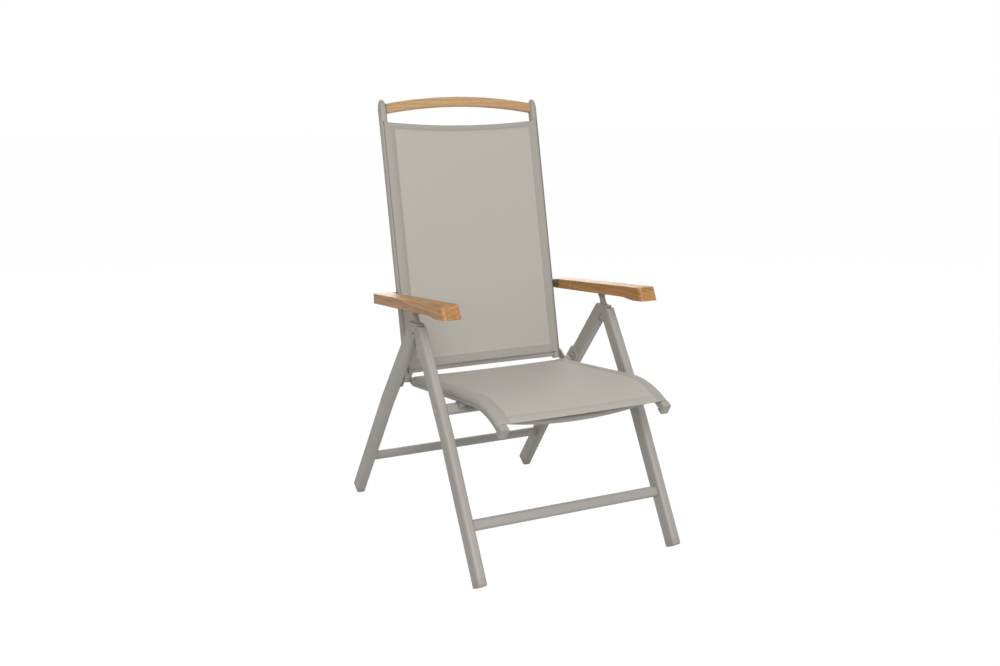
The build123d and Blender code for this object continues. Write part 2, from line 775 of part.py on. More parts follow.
arm_forward = unit(180 - arm_slope)
arm_up = reverse(ahead_of(arm_forward))
arm_centre = leg_track / 2 + arm_outside_leg
arm_inner = arm_centre - arm_width / 2
arm_nose_bottom = arm_top_length + arm_nose_slant
swell_end = arm_nose_bottom - arm_nose_land
swell_start = swell_end - arm_swell_length
bush_tip = arm_inner + arm_bush_depth - side_gap
collar_face = back_outer + arm_collar_width
post_top_ahead = (hinge[0] + post_top_back - arm_pivot[0]) / arm_forward[0]
rack_start = post_top_ahead - rack_first_notch
rack_end = rack_start + rack_length
rack_low = -rack_below_pivot
rack_high = rack_low + rack_thickness
rack_screw_places = (rack_start + rack_screw_inset, rack_end - rack_screw_inset)


def arm_point(u, v):
    return along(along(arm_pivot, arm_forward, u), arm_up, v)


def arm_plane(x):
    """Plane across X at the arm's pivot: local x is u, local y is v, the normal is -X."""
    return Plane(origin=(x, *arm_pivot), x_dir=(0, *arm_forward), z_dir=(-1, 0, 0))


def underside(u):
    """Height v of the arm's underside on its straight part."""
    share = (u + arm_rear_length) / (swell_start + arm_rear_length)
    return -arm_rear_below_pivot - (arm_mid_below_pivot - arm_rear_below_pivot) * share


def arm_blank(side):
    """The arm sawn to its outline, with its nose, rear corners and top edges rounded."""
    rear, middle = -arm_rear_length, (swell_start + swell_end) / 2
    low, mid = -arm_nose_below_pivot, -arm_mid_below_pivot
    curves = [
        Polyline((swell_start, mid), (rear, -arm_rear_below_pivot), (rear, arm_top_above_pivot),
                 (arm_top_length, arm_top_above_pivot), (arm_nose_bottom, low), (swell_end, low)),
        Bezier((swell_end, low), (middle, low), (middle, mid), (swell_start, mid)),
    ]
    body = extrude(arm_plane(side * arm_centre + arm_width / 2) * outline_face(curves), amount=arm_width)
    nose = body.faces().sort_by(Axis.Y)[0].edges().filter_by(Axis.X, reverse=True)
    body = fillet(nose, arm_nose_radius)
    rear_corners = body.faces().sort_by(Axis.Y)[-1].edges().filter_by(Axis.X, reverse=True)
    body = fillet(rear_corners, arm_rear_radius)
    return fillet(far_edges(body, arm_up), arm_edge_round)


def rack_box(side, start, end, low, high, width):
    """A block under the arm, on the leg's centre plane, in the arm's own directions."""
    outline = Polyline((start, low), (end, low), (end, high), (start, high), close=True)
    return extrude(arm_plane(side * leg_track / 2 + width / 2) * outline_face([outline]), amount=width)


def rack_screw_shank(side, u):
    plane = Plane(origin=(side * leg_track / 2, *arm_point(u, rack_low)), z_dir=(0, *arm_up))
    return extrude(plane * Circle(rack_screw_diameter / 2), amount=rack_screw_length)


def armrest(side):
    """A hardwood arm with a bore for its bush and a groove for the rack in its underside."""
    rear, front = rack_start - rack_groove_margin, rack_end + rack_groove_margin
    groove = rack_box(side, rear, front, -overrun, rack_high, rack_groove_width)
    body = arm_blank(side) - groove
    for u in rack_screw_places:
        body = body - rack_screw_shank(side, u)
    bore_end = side * (bush_tip + side_gap)
    return body - rod(side * back_outer, bore_end, arm_pivot, arm_bush_diameter + 2 * running_gap)


def rack(side):
    """A notched steel strip on the groove's ceiling."""
    x = side * leg_track / 2
    strip = rack_box(side, rack_start, rack_end, rack_low, rack_high, rack_width)
    for index in range(rack_notch_count):
        place = arm_point(rack_start + rack_first_notch + index * rack_notch_pitch, rack_low)
        strip = strip - rod(x - rack_width, x + rack_width, place, rack_notch_diameter)
    for u in rack_screw_places:
        strip = strip - rack_screw_shank(side, u)
    return strip


def rack_screws(side):
    """Two small screws that hold a rack in its groove."""
    screws = []
    for u in rack_screw_places:
        seat = Plane(origin=(side * leg_track / 2, *arm_point(u, rack_low)), z_dir=(0, *reverse(arm_up)))
        head = extrude(seat * Circle(rack_screw_head_diameter / 2), amount=rack_screw_head_height)
        screws.append(rack_screw_shank(side, u) + head)
    return screws


def arm_bolt(side):
    """Shoulder bolt through a back rail into the arm's bush: round head inside, collar outside."""
    head = domed_head(side * back_inner, arm_pivot, arm_bolt_head_diameter, arm_bolt_head_height, -side)
    collar = rod(side * back_outer, side * collar_face, arm_pivot, arm_collar_diameter)
    return rod(side * back_inner, side * bush_tip, arm_pivot, arm_bolt_diameter) + head + collar


def arm_bush(side):
    """Flanged bush: its sleeve sits in the arm and its flange keeps the arm off the collar."""
    near, face = side * (collar_face + side_gap), side * (arm_inner - side_gap)
    body = rod(near, side * bush_tip, arm_pivot, arm_bush_diameter)
    body = body + rod(near, face, arm_pivot, arm_flange_diameter)
    return body - rod(side * back_inner, side * leg_outer, arm_pivot, arm_bolt_diameter + 2 * running_gap)


def arm_post(side):
    """Waisted post on the rear leg's casting; its tongue enters the arm's groove under the rack."""
    x = side * leg_track / 2
    near_x = x - post_thickness / 2
    shoulder = underside(post_top_ahead) - post_top_gap
    profiles = []
    for end in (-1, 1):
        base = (hinge[0] + post_base_back + end * post_base_width / 2, leg_top_height)
        waist = (hinge[0] + post_waist_back + end * post_waist_width / 2, leg_top_height + post_waist_height)
        top = arm_point(post_top_ahead - end * post_top_width / 2, shoulder)
        profiles.append([(near_x, *point) for point in (base, waist, top)])
    curves = [ThreePointArc(*profile) for profile in profiles]
    curves.extend(Line(front, rear) for front, rear in (list(zip(*profiles))[0], list(zip(*profiles))[2]))
    body = extrude(outline_face(curves), amount=post_thickness, dir=(1, 0, 0))
    radius = post_tongue_length / 2
    tip = rack_low - post_rack_gap - radius
    tongue = rack_box(side, post_top_ahead - radius, post_top_ahead + radius, shoulder - radius, tip,
                      post_tongue_width)
    half = post_tongue_width / 2
    return body + tongue + rod(x - half, x + half, arm_point(post_top_ahead, tip), 2 * radius)


def rest_tube_bolt(side):
    return domed_head(side * leg_outer, rest_tube_place, bolt_head_diameter, bolt_head_height, side)


def side_pieces(name, side):
    """The sub-parts that each side of the chair has for itself."""
    x = side * leg_track / 2
    return {
        f"{name}_rear_leg": leg_tube(x, rear_foot, rear_knee, rear_beside, rear_low_up, rear_up),
        f"{name}_front_leg": leg_tube(x, front_foot, front_knee, front_beside, front_low_up, front_up),
        f"{name}_rear_casting": rear_casting(x),
        f"{name}_front_casting": front_casting(x),
        f"{name}_rear_foot": foot_cap(x, rear_foot, rear_low_up),
        f"{name}_front_foot": foot_cap(x, front_foot, front_low_up),
        f"{name}_arm_post": arm_post(side),
        f"{name}_pivot_bracket": pivot_bracket(side),
        f"{name}_pivot_bolt": pivot_bolt(side),
        f"{name}_seat_rail": seat_rail(side),
        f"{name}_seat_front_cap": seat_front_cap(side),
        f"{name}_seat_lug": seat_lug(side),
        f"{name}_back_rail": back_rail(side),
        f"{name}_rail_tip": rail_tip(side),
        f"{name}_back_plate": back_plate(side),
        f"{name}_armrest": armrest(side),
        f"{name}_rack": rack(side),
        f"{name}_rack_screws": rack_screws(side),
        f"{name}_arm_bolt": arm_bolt(side),
        f"{name}_arm_bush": arm_bush(side),
    }


def shared_pieces():
    """Cross members, slings and the groups of small parts that come in pairs."""
    pair = list(sides.values())
    return {
        "hinge_pins": [hinge_pin(side * leg_track / 2) for side in pair],
        "front_stretcher": cross_tube(front_stretcher_place, front_low_up),
        "rear_stretcher": cross_tube(rear_stretcher_place, rear_low_up),
        "rest_tube": cross_tube(rest_tube_place, front_up),
        "rest_tube_bolts": [rest_tube_bolt(side) for side in pair],
        "bracket_screws": bracket_screws(),
        "pivot_sleeves": [pivot_sleeve(side) for side in pair],
        "seat_rear_caps": [seat_rear_cap(side) for side in pair],
        "seat_front_spreader": seat_front_spreader(),
        "seat_rear_spreader": seat_rear_spreader(),
        "seat_sling": seat_sling(),
        "seat_edge_rods": [seat_edge_rod(side) for side in pair],
        "seat_saddles": [saddle(side) for side in pair],
        "back_lower_caps": [back_lower_cap(side) for side in pair],
        "back_spreader": back_spreader(),
        "back_sling": back_sling(),
        "back_edge_rods": [back_edge_rod(side) for side in pair],
        "top_rail": top_rail(),
        "top_rail_screws": [top_rail_screw(side) for side in pair],
    }


pieces = shared_pieces()
for side_name, side_sign in sides.items():
    pieces.update(side_pieces(side_name, side_sign))

os.makedirs("parts", exist_ok=True)
for node, shape in pieces.items():
    solids = [solid for item in (shape if isinstance(shape, list) else [shape]) for solid in item.solids()]
    body = solids[0] if len(solids) == 1 else Compound(solids)
    body.label = node
    export_step(body, f"parts/{node}.step")
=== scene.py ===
import bpy
import bmesh
import json
from math import cos, hypot, pi, radians, sin
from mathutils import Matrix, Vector


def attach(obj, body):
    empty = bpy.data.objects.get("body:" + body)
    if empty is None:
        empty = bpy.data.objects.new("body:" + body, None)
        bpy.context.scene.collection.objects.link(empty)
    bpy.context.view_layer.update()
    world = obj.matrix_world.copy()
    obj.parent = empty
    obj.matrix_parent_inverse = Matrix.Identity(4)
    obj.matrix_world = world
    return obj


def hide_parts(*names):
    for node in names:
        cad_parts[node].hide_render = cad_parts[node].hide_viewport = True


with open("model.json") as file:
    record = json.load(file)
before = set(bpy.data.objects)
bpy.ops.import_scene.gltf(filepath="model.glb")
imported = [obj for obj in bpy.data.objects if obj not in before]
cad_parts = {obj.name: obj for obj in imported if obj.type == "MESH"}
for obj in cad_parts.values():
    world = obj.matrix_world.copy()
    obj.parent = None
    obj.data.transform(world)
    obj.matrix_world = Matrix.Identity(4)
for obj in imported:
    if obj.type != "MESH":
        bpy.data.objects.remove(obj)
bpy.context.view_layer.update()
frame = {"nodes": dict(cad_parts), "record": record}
cadNodes = frame["nodes"]
scene = bpy.context.scene
print("frame loaded with", len(cadNodes), "nodes")


# camera

viewpoint = {
    "place": (-1.3799, -2.5964, 1.1137),
    "turn": 27.69,  # degrees from straight ahead of the chair
    "lookDown": 11.69,
    "lens": 41.54,
    "sensor": 36,
}


def placeCamera(values):
    camera = bpy.data.objects.new("camera", bpy.data.cameras.new("camera"))
    scene.collection.objects.link(camera)
    turn, drop = radians(values["turn"]), radians(values["lookDown"])
    ahead = Vector((sin(turn) * cos(drop), cos(turn) * cos(drop), -sin(drop)))
    camera.location = values["place"]
    camera.rotation_mode = "QUATERNION"
    camera.rotation_quaternion = ahead.to_track_quat("-Z", "Y")
    camera.data.lens = values["lens"]
    camera.data.sensor_width = values["sensor"]
    scene.camera = camera


placeCamera(viewpoint)
scene.view_settings.view_transform = "Standard"
print("camera placed")


# helpers for node trees

def joinSocket(tree, socket, value):
    if isinstance(value, bpy.types.NodeSocket):
        tree.links.new(value, socket)
    elif value is not None:
        socket.default_value = value


def addNode(tree, kind, inputs=None, **settings):
    node = tree.nodes.new(kind)
    for name, value in settings.items():
        setattr(node, name, value)
    for name, value in (inputs or {}).items():
        joinSocket(tree, node.inputs[name], value)
    return node


def addNoise(tree, place, scale, detail, roughness=0.5):
    inputs = {"Vector": place, "Scale": scale, "Detail": detail, "Roughness": roughness}
    return addNode(tree, "ShaderNodeTexNoise", inputs)


def sums(tree, operation, *values):
    node = tree.nodes.new("ShaderNodeMath")
    node.operation = operation
    for socket, value in zip(node.inputs, values):
        joinSocket(tree, socket, value)
    return node.outputs[0]


def mixColours(tree, amount, first, second):
    node = tree.nodes.new("ShaderNodeMix")
    node.data_type = "RGBA"
    joinSocket(tree, node.inputs[0], amount)
    joinSocket(tree, node.inputs[6], first)
    joinSocket(tree, node.inputs[7], second)
    return node.outputs[2]


def shareOf(tree, mask, share):
    return sums(tree, "MULTIPLY", mask, share)


def remap(tree, value, fromRange, toRange=(0.0, 1.0)):
    inputs = {"Value": value, "From Min": fromRange[0], "From Max": fromRange[1],
              "To Min": toRange[0], "To Max": toRange[1]}
    return addNode(tree, "ShaderNodeMapRange", inputs, clamp=True).outputs[0]


def newGroup(name, inputs, outputs):
    group = bpy.data.node_groups.new(name, "ShaderNodeTree")
    for label, kind, value in inputs:
        socket = group.interface.new_socket(label, in_out="INPUT", socket_type="NodeSocket" + kind)
        if value is not None:
            socket.default_value = value
    for label, kind in outputs:
        group.interface.new_socket(label, in_out="OUTPUT", socket_type="NodeSocket" + kind)
    start = group.nodes.new("NodeGroupInput")
    end = group.nodes.new("NodeGroupOutput")
    return group, start.outputs, end.inputs


def placeGroup(tree, group, inputs):
    node = tree.nodes.new("ShaderNodeGroup")
    node.node_tree = group
    for name, value in inputs.items():
        joinSocket(tree, node.inputs[name], value)
    return node.outputs


def newMaterial(name, roughness, specular=0.5, metallic=0.0, sheen=0.0):
    material = bpy.data.materials.new(name)
    material.use_nodes = True
    tree = material.node_tree
    shader = tree.nodes["Principled BSDF"]
    shader.inputs["Roughness"].default_value = roughness
    shader.inputs["Specular IOR Level"].default_value = specular
    shader.inputs["Metallic"].default_value = metallic
    shader.inputs["Sheen Weight"].default_value = sheen
    return material, tree, shader


def objectPlace(tree, scale=(1, 1, 1), turn=(0, 0, 0)):
    coordinates = tree.nodes.new("ShaderNodeTexCoord")
    mapping = addNode(tree, "ShaderNodeMapping", {"Vector": coordinates.outputs["Object"]})
    mapping.inputs["Scale"].default_value = scale
    mapping.inputs["Rotation"].default_value = [radians(a) for a in turn]
    return mapping.outputs[0]


def softEdges(tree, radius):  # rounds the look of sharp edges
    return addNode(tree, "ShaderNodeBevel", {"Radius": radius}, samples=6).outputs[0]


def joinFinish(tree, shader, values, body, roughMask, height):  # what every hard finish ends with
    tree.links.new(body, shader.inputs["Base Color"])
    rough = remap(tree, roughMask, (0.0, 1.0), values["roughness"])
    tree.links.new(rough, shader.inputs["Roughness"])
    bump = addNode(tree, "ShaderNodeBump", {
        "Strength": values["bumpStrength"], "Distance": values["bump"], "Height": height,
        "Normal": softEdges(tree, values["edge"])})
    tree.links.new(bump.outputs[0], shader.inputs["Normal"])


# groups that several finishes share; a noise is given as scale, detail and roughness

grainPattern = {
    "grain": (3.0, 0.6),  # detail and roughness, each finish sets the scale
    "cloud": (4.0, 0.55),
    "cloudRange": (0.32, 0.68),
    "speckRange": (0.62, 0.74),
}


def makeFineGrain(values):
    group, given, result = newGroup(
        "fineGrain",
        [("Vector", "Vector", None), ("Grain", "Float", 900.0), ("Cloud", "Float", 9.0)],
        [("Height", "Float"), ("Cloud", "Float"), ("Speck", "Float")],
    )
    grain = addNoise(group, given["Vector"], given["Grain"], *values["grain"]).outputs[0]
    cloud = addNoise(group, given["Vector"], given["Cloud"], *values["cloud"]).outputs[0]
    group.links.new(grain, result["Height"])
    group.links.new(remap(group, cloud, values["cloudRange"]), result["Cloud"])
    group.links.new(remap(group, grain, values["speckRange"]), result["Speck"])
    return group


weavePattern = {
    "lift": 0.5,  # how far a thread rises where it crosses over another
    # where the holes between threads lie; the cloth paints shade into them
    "gapRange": (0.25, 0.55),
    "slubStretch": (620.0, 14.0, 1.0),
    "slub": (1.0, 2.0),
    "slubRange": (0.3, 0.7),
}


def makeWeave(values):
    group, given, result = newGroup(
        "openWeave",
        [("Vector", "Vector", None), ("Pitch", "Float", 0.0016)],
        [("Height", "Float"), ("GapShade", "Float"), ("Warp", "Float"), ("Slub", "Float")],
    )
    split = addNode(group, "ShaderNodeSeparateXYZ", {"Vector": given["Vector"]})
    threads = [sums(group, "DIVIDE", split.outputs[axis], given["Pitch"]) for axis in (0, 1)]
    angles = [sums(group, "MULTIPLY", count, pi) for count in threads]
    waves = [sums(group, "SINE", angle) for angle in angles]
    swings = [sums(group, "COSINE", angle) for angle in angles]
    signs = [sums(group, "SIGN", wave) for wave in waves]
    ribs = [sums(group, "ABSOLUTE", wave) for wave in waves]
    warpOver = sums(group, "MULTIPLY", swings[1], signs[0])
    weftOver = sums(group, "MULTIPLY", swings[0], signs[1])
    warpLift = sums(group, "MULTIPLY_ADD", warpOver, values["lift"], 1.0)
    weftLift = sums(group, "MULTIPLY_ADD", weftOver, -values["lift"], 1.0)
    warp = sums(group, "MULTIPLY", ribs[0], warpLift)
    weft = sums(group, "MULTIPLY", ribs[1], weftLift)
    solid = sums(group, "MAXIMUM", *ribs)
    stretched = addNode(group, "ShaderNodeMapping", {"Vector": given["Vector"]})
    stretched.inputs["Scale"].default_value = values["slubStretch"]
    slub = addNoise(group, stretched.outputs[0], *values["slub"]).outputs[0]
    group.links.new(sums(group, "MAXIMUM", warp, weft), result["Height"])
    group.links.new(remap(group, solid, values["gapRange"], (1.0, 0.0)), result["GapShade"])
    group.links.new(sums(group, "GREATER_THAN", warp, weft), result["Warp"])
    group.links.new(remap(group, slub, values["slubRange"]), result["Slub"])
    return group


stitchPattern = {
    "dashRange": (0.32, 0.42),  # from a stitch's middle, in stitches
    "threadRange": (0.6, 1.1),  # from the seam's line, in thread widths
    # beside a seam the stitches pull the cloth into a dent; the same mask paints shade into the cloth there
    "pullAndShadeRange": (0.8, 5.0),
}


def makeStitches(values):
    group, given, result = newGroup(
        "stitchRow",
        [("Across", "Float", 0.0), ("Along", "Float", 0.0), ("Place", "Float", 0.0),
         ("Width", "Float", 0.0006), ("Length", "Float", 0.0034)],
        [("Thread", "Float"), ("PullAndShade", "Float")],
    )
    off = sums(group, "ABSOLUTE", sums(group, "SUBTRACT", given["Across"], given["Place"]))
    off = sums(group, "DIVIDE", off, given["Width"])
    part = sums(group, "FRACT", sums(group, "DIVIDE", given["Along"], given["Length"]))
    middle = sums(group, "ABSOLUTE", sums(group, "SUBTRACT", part, 0.5))
    dash = remap(group, middle, values["dashRange"], (1.0, 0.0))
    near = remap(group, off, values["threadRange"], (1.0, 0.0))
    group.links.new(sums(group, "MULTIPLY", near, dash), result["Thread"])
    group.links.new(remap(group, off, values["pullAndShadeRange"], (1.0, 0.0)), result["PullAndShade"])
    return group


woodPattern = {
    "bend": (0.9, 3.0, 0.5),
    "rings": {"Scale": 0.55, "Distortion": 5.0, "Detail": 3.0, "Detail Scale": 0.8, "Detail Roughness": 0.6},
    "ringShare": 0.55,
    "streak": (5.5, 5.0, 0.62),
    "streakShare": 0.55,
    "toneRange": (0.3, 0.8),
    "patch": (0.4, 3.0),
    "patchRange": (0.42, 0.7),
    "patchShare": 0.55,
    "darkRange": (0.56, 0.74),
    "darkShare": 0.7,
    "cloud": (0.75, 2.0, 0.7),
    "cloudRange": (0.52, 0.72),
    "cloudShare": 0.45,
    "pores": (22.0, 2.0),
    "poreRange": (0.56, 0.66),
    "poreShare": 0.35,
    "toneHeight": 0.4,
}


def makeWoodGrain(values):
    group, given, result = newGroup(
        "woodGrain",
        [("Vector", "Vector", None), ("Light", "Color", (0.6, 0.36, 0.16, 1)),
         ("Middle", "Color", (0.45, 0.23, 0.09, 1)), ("Dark", "Color", (0.24, 0.1, 0.035, 1))],
        [("Color", "Color"), ("Height", "Float"), ("Pore", "Float")],
    )
    light, middle, dark = given["Light"], given["Middle"], given["Dark"]
    bend = addNoise(group, given["Vector"], *values["bend"]).outputs["Color"]
    place = addNode(group, "ShaderNodeVectorMath", {0: given["Vector"], 1: bend}, operation="ADD").outputs[0]
    rings = addNode(group, "ShaderNodeTexWave", dict(values["rings"], Vector=place),
                    wave_type="RINGS", rings_direction="Y", wave_profile="SAW").outputs["Fac"]
    streak = addNoise(group, place, *values["streak"]).outputs[0]
    cloud = addNoise(group, place, *values["cloud"]).outputs[0]
    patch = addNoise(group, given["Vector"], *values["patch"]).outputs[0]
    pores = addNoise(group, given["Vector"], *values["pores"]).outputs[0]
    streakTone = shareOf(group, streak, values["streakShare"])
    tone = sums(group, "MULTIPLY_ADD", rings, values["ringShare"], streakTone)
    pore = remap(group, pores, values["poreRange"])
    body = mixColours(group, remap(group, tone, values["toneRange"]), light, middle)
    layers = [
        (remap(group, patch, values["patchRange"], (0.0, values["patchShare"])), light),
        (remap(group, streak, values["darkRange"], (0.0, values["darkShare"])), dark),
        (remap(group, cloud, values["cloudRange"], (0.0, values["cloudShare"])), dark),
        (shareOf(group, pore, values["poreShare"]), dark),
    ]
    for amount, colour in layers:
        body = mixColours(group, amount, body, colour)
    group.links.new(body, result["Color"])
    height = sums(group, "SUBTRACT", shareOf(group, tone, values["toneHeight"]), pore)
    group.links.new(height, result["Height"])
    group.links.new(pore, result["Pore"])
    return group


fineGrain = makeFineGrain(grainPattern)
openWeave = makeWeave(weavePattern)
stitchRow = makeStitches(stitchPattern)
woodGrain = makeWoodGrain(woodPattern)
print("finish groups made")


# metal and plastic finishes

coating = {
    "colour": (0.362, 0.34, 0.31, 1),
    "shade": (0.33, 0.308, 0.278, 1),
    "speck": (0.45, 0.425, 0.385, 1),
    "speckShare": 0.35,
    "roughness": (0.4, 0.52),
    "grain": 1100.0,
    "cloud": 7.0,
    "bump": 0.00004,
    "bumpStrength": 0.5,
    "edge": 0.0007,
}

moulding = dict(
    coating,
    colour=(0.345, 0.322, 0.288, 1),
    shade=(0.31, 0.289, 0.257, 1),
    speck=(0.41, 0.385, 0.345, 1),
    roughness=(0.5, 0.62),
    grain=700.0,
    bump=0.00007,
    edge=0.0009,
)

bearing = dict(
    coating,
    colour=(0.085, 0.056, 0.036, 1),
    shade=(0.06, 0.04, 0.027, 1),
    speck=(0.13, 0.095, 0.065, 1),
    roughness=(0.45, 0.6),
    grain=700.0,
    bump=0.00006,
    edge=0.0005,
)

rodPlastic = dict(
    coating,
    colour=(0.2, 0.182, 0.155, 1),
    shade=(0.17, 0.155, 0.13, 1),
    speck=(0.25, 0.23, 0.2, 1),
    roughness=(0.4, 0.5),
    grain=900.0,
    bump=0.00003,
    edge=0.0003,
)


def makeCoating(name, values):
    material, tree, shader = newMaterial(name, values["roughness"][0])
    grain = placeGroup(tree, fineGrain, {
        "Vector": objectPlace(tree), "Grain": values["grain"], "Cloud": values["cloud"]})
    body = mixColours(tree, grain["Cloud"], values["colour"], values["shade"])
    body = mixColours(tree, shareOf(tree, grain["Speck"], values["speckShare"]), body, values["speck"])
    joinFinish(tree, shader, values, body, grain["Cloud"], grain["Height"])
    return material


steel = {
    "colour": (0.4, 0.385, 0.36, 1),
    "dull": (0.26, 0.25, 0.235, 1),
    "roughness": (0.3, 0.48),
    "metallic": 0.85,
    "grain": 1500.0,
    "cloud": 60.0,
    "bump": 0.00003,
    "bumpStrength": 0.3,
    "edge": 0.0003,
}


def makeSteel(name, values):
    material, tree, shader = newMaterial(name, values["roughness"][0], metallic=values["metallic"])
    grain = placeGroup(tree, fineGrain, {
        "Vector": objectPlace(tree), "Grain": values["grain"], "Cloud": values["cloud"]})
    body = mixColours(tree, grain["Cloud"], values["colour"], values["dull"])
    joinFinish(tree, shader, values, body, grain["Cloud"], grain["Height"])
    return material


# wood of the arms and the top rail

# painted shade: the arms' teak is a darker copy of the top rail's teak, matched to the arms' shaded sides
shadedArmTeak = {
    "light": (0.5, 0.262, 0.084, 1),
    "middle": (0.345, 0.145, 0.036, 1),
    "dark": (0.15, 0.054, 0.012, 1),
    "stretch": (60.0, 3.5, 60.0),  # the grain runs along the arm
    "turn": (4.75, 0, 0),
    "roughness": (0.42, 0.6),
    "bump": 0.0002,
    "bumpStrength": 0.35,
    "edge": 0.0012,
}

# painted light: the top rail's teak is a lighter copy of the arms' teak
litRailTeak = dict(
    shadedArmTeak,
    light=(0.54, 0.345, 0.17, 1),
    middle=(0.43, 0.25, 0.1, 1),
    dark=(0.27, 0.13, 0.045, 1),
    stretch=(3.5, 60.0, 60.0),  # the grain runs across the chair
    turn=(12.15, 0, 0),
)


def makeTeak(name, values):
    material, tree, shader = newMaterial(name, values["roughness"][0])
    grain = placeGroup(tree, woodGrain, {
        "Vector": objectPlace(tree, values["stretch"], values["turn"]),
        "Light": values["light"], "Middle": values["middle"], "Dark": values["dark"]})
    joinFinish(tree, shader, values, grain["Color"], grain["Pore"], grain["Height"])
    return material


finishes = {  # by the record's material slots
    "coated_metal": makeCoating("greigePowderCoat", coating),
    "moulded_plastic": makeCoating("greigePlastic", moulding),
    "bearing_bronze": makeCoating("darkBush", bearing),
    "edge_rod": makeCoating("greyEdgeRod", rodPlastic),
    "steel_fastener": makeSteel("satinSteel", steel),
    "hardwood": makeTeak("shadedTeakArm", shadedArmTeak),
}
ownFinishes = {  # nodes that look unlike the rest of their slot
    # the top rail's own finish turns its grain across the chair and paints light into its tone
    "top_rail": makeTeak("litTeakTopRail", litRailTeak),
    "pivot_sleeves": finishes["coated_metal"],
    "right_arm_bolt": finishes["bearing_bronze"],
    "left_arm_bolt": finishes["bearing_bronze"],
}

for part in frame["record"]["subparts"]:
    finish = ownFinishes.get(part["node"], finishes.get(part["material_slot"]))
    if finish:
        data = cadNodes[part["node"]].data
        data.materials.clear()
        data.materials.append(finish)
print("finishes laid on the frame")


# cloth

cloth = {
    "colour": (0.478, 0.453, 0.407, 1),
    "weft": (0.438, 0.415, 0.37, 1),
    # painted shade, laid in the holes between threads and in the dents beside seams
    "gap": (0.28, 0.262, 0.23, 1),
    "hem": (0.345, 0.325, 0.285, 1),
    "thread": (0.4, 0.376, 0.33, 1),
    "slubShare": 0.18,
    "gapShare": 0.6,
    "hemShare": 0.75,
    # how much painted shade falls in the dents beside seams
    "pullShadeShare": 0.3,
    "pitch": 0.0016,
    "roughness": 0.72,
    "specular": 0.3,
    "sheen": 0.15,
    "weaveHeight": 0.6,
    "threadHeight": 1.4,
    "bump": 0.0003,
    "bumpStrength": 0.5,
}

# painted shade: the seat's cloth is the back's cloth made darker, standing in for the seat lying in less
# light
shadedSeatCloth = dict(cloth, colour=(0.455, 0.43, 0.382, 1), weft=(0.415, 0.392, 0.347, 1))


def makeCloth(name, values, seams):  # a seam is the UV axis that it crosses, and its place there
    material, tree, shader = newMaterial(
        name, values["roughness"], specular=values["specular"], sheen=values["sheen"])
    uv = addNode(tree, "ShaderNodeUVMap", uv_map="cloth").outputs[0]
    weave = placeGroup(tree, openWeave, {"Vector": uv, "Pitch": values["pitch"]})
    split = addNode(tree, "ShaderNodeSeparateXYZ", {"Vector": uv})
    hem = addNode(tree, "ShaderNodeAttribute", attribute_name="hem").outputs["Fac"]
    threads, pullDentsAndShade = 0.0, 0.0
    for axis, place in seams:
        across, along = split.outputs[axis], split.outputs[1 - axis]
        row = placeGroup(tree, stitchRow, {"Across": across, "Along": along, "Place": place})
        threads = sums(tree, "MAXIMUM", row["Thread"], threads)
        pullDentsAndShade = sums(tree, "MAXIMUM", row["PullAndShade"], pullDentsAndShade)
    body = mixColours(tree, weave["Warp"], values["weft"], values["colour"])
    layers = [
        (shareOf(tree, weave["Slub"], values["slubShare"]), values["weft"]),
        # painted shade in the holes between threads
        (shareOf(tree, weave["GapShade"], values["gapShare"]), values["gap"]),
        (shareOf(tree, hem, values["hemShare"]), values["hem"]),
        # painted shade in the dents beside seams
        (shareOf(tree, pullDentsAndShade, values["pullShadeShare"]), values["gap"]),
        (threads, values["thread"]),
    ]
    for amount, colour in layers:
        body = mixColours(tree, amount, body, colour)
    tree.links.new(body, shader.inputs["Base Color"])
    height = sums(tree, "SUBTRACT", shareOf(tree, weave["Height"], values["weaveHeight"]), pullDentsAndShade)
    height = sums(tree, "ADD", height, shareOf(tree, threads, values["threadHeight"]))
    bump = addNode(tree, "ShaderNodeBump", {
        "Strength": values["bumpStrength"], "Distance": values["bump"], "Height": height})
    tree.links.new(bump.outputs[0], shader.inputs["Normal"])
    return material


# the slings' grids

hemLine = 0.0004  # width of the step from plain cloth to hem
closeTo = 0.0001  # for telling which grid points lie on a hem's line


def evenStops(low, high, step):
    count = max(1, round((high - low) / step))
    return [low + (high - low) * n / count for n in range(count + 1)]


def halfStops(lengths, hemAt, step):
    # even steps along half a section, with a pair of close lines where the hem begins
    stops = evenStops(0.0, lengths[-1], step)
    clear = step * 0.4
    return sorted([s for s in stops if abs(s - hemAt) > clear] + [hemAt - hemLine, hemAt])


def lengthStops(values, start, end, startHem, endHem):
    # fine steps in the hem at each end, wider ones between, and a pair of close lines at each hem
    *first, low = [start + stop for stop in values["firstStops"]]
    inHem, besideHem, hemStep = values["stopInHem"], values["stopBesideHem"], values["hemStep"]
    startLine, endLine = start + startHem, end - endHem
    stops = first + evenStops(low, startLine - inHem, hemStep)
    stops += [startLine, startLine + hemLine]
    stops += evenStops(startLine + besideHem, endLine - besideHem, values["step"])
    stops += [endLine - hemLine, endLine]
    return stops + evenStops(endLine + inHem, end, hemStep)


def mirrored(stops):
    return [-s for s in reversed(stops[1:])] + stops


def lineLengths(points):
    lengths = [0.0]
    for first, second in zip(points, points[1:]):
        lengths.append(lengths[-1] + hypot(second[0] - first[0], second[1] - first[1]))
    return lengths


def sectionAt(points, lengths, distance):
    for n in range(len(points) - 1):
        if distance <= lengths[n + 1] or n == len(points) - 2:
            share = (distance - lengths[n]) / (lengths[n + 1] - lengths[n])
            return [a + (b - a) * share for a, b in zip(points[n], points[n + 1])]


def seamRows(values, hemAt, startSeam, endSeam):
    sides = [(0, side * (hemAt + seam)) for seam in values["sideSeams"] for side in (1, -1)]
    return sides + [(1, endSeam), (1, startSeam)]


